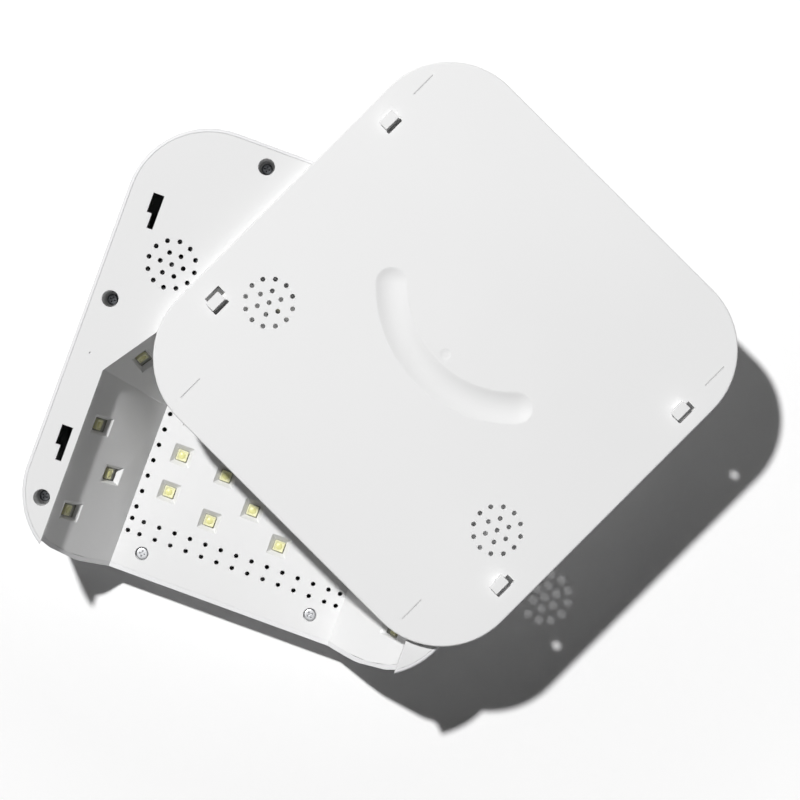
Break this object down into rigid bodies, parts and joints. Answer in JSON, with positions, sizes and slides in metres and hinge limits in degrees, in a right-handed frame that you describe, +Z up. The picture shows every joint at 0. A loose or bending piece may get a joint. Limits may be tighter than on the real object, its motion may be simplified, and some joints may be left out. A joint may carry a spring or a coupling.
{
  "type": "cordless nail lamp",
  "caption": "Cordless nail lamp lying on its top, hand cavity with small lamp chips in leaning walls, loose base tray with hooks across its underside.",
  "frame": {"origin": "centre of the lamp's footprint, on the surface that its top lies on", "axes": "+X to the lamp's right, +Y to its rear, +Z up, out of the underside; the hand opening faces -Y"},
  "size_m": [0.2995, 0.2893, 0.1015],
  "materials": {
    "shell_white": "satin white moulded plastic",
    "underside_white": "fine matt white moulded plastic",
    "reflector_white": "satin white reflector plastic",
    "tray_white": "satin white moulded plastic",
    "button_white": "satin light grey plastic",
    "lamp_board": "white board with pale yellow lamp chips",
    "circuit_board": "green lacquered board",
    "dark_plastic": "black moulded plastic",
    "smoked_window": "polished smoked plastic",
    "cell_wrap": "shrink wrap over steel",
    "screw_steel": "plated steel",
    "foot_rubber": "soft grey rubber"
  },
  "bodies": {
    "lamp": {"outer_shell": "shell_white", "bottom_plate": "underside_white", "reflector_liner": "reflector_white", "ceiling_panel": "reflector_white", "ceiling_led_board": "lamp_board", "left_led_board": "lamp_board", "right_led_board": "lamp_board", "left_corner_led_board": "lamp_board", "right_corner_led_board": "lamp_board", "rear_led_board": "lamp_board", "main_board": "circuit_board", "display_window": "smoked_window", "display_module": "dark_plastic", "button_switch_1": "dark_plastic", "button_switch_2": "dark_plastic", "button_switch_3": "dark_plastic", "button_switch_4": "dark_plastic", "battery_cradle": "dark_plastic", "battery_cell_1": "cell_wrap", "battery_cell_2": "cell_wrap", "battery_cell_3": "cell_wrap", "battery_cell_4": "cell_wrap", "charge_socket": "dark_plastic", "left_fan_frame": "dark_plastic", "right_fan_frame": "dark_plastic", "case_screw_1": "screw_steel", "case_screw_2": "screw_steel", "case_screw_3": "screw_steel", "case_screw_4": "screw_steel", "case_screw_5": "screw_steel", "case_screw_6": "screw_steel", "ceiling_screw_1": "screw_steel", "ceiling_screw_2": "screw_steel", "board_screw_1": "screw_steel", "board_screw_2": "screw_steel", "board_screw_3": "screw_steel", "board_screw_4": "screw_steel"},
    "tray": {"base_tray": "tray_white", "tray_foot_1": "foot_rubber", "tray_foot_2": "foot_rubber", "tray_foot_3": "foot_rubber", "tray_foot_4": "foot_rubber"},
    "timer_button_a": {"timer_button_1": "button_white"},
    "timer_button_b": {"timer_button_2": "button_white"},
    "timer_button_c": {"timer_button_3": "button_white"},
    "power_key": {"power_button": "button_white"},
    "left_rotor": {"left_fan_rotor": "dark_plastic"},
    "right_rotor": {"right_fan_rotor": "dark_plastic"}
  },
  "joints": [
    {"name": "tray_lift", "type": "slide", "parent": "lamp", "child": "tray", "axis": [0, 0, 1], "range_m": [0, 0.12]},
    {"name": "timer_press_1", "type": "slide", "parent": "lamp", "child": "timer_button_a", "axis": [0, 0, 1], "range_m": [0, 0.0005], "stiffness_N_per_m": 1500},
    {"name": "timer_press_2", "type": "slide", "parent": "lamp", "child": "timer_button_b", "axis": [0, 0, 1], "range_m": [0, 0.0005], "stiffness_N_per_m": 1500},
    {"name": "timer_press_3", "type": "slide", "parent": "lamp", "child": "timer_button_c", "axis": [0, 0, 1], "range_m": [0, 0.0005], "stiffness_N_per_m": 1500},
    {"name": "power_press", "type": "slide", "parent": "lamp", "child": "power_key", "axis": [0, 0, 1], "range_m": [0, 0.0005], "stiffness_N_per_m": 1500},
    {"name": "left_fan_spin", "type": "hinge", "parent": "lamp", "child": "left_rotor", "pos_m": [-0.076, 0.0416, 0.085], "axis": [0, 0, 1], "continuous": true},
    {"name": "right_fan_spin", "type": "hinge", "parent": "lamp", "child": "right_rotor", "pos_m": [0.076, 0.0416, 0.085], "axis": [0, 0, 1], "continuous": true}
  ]
}
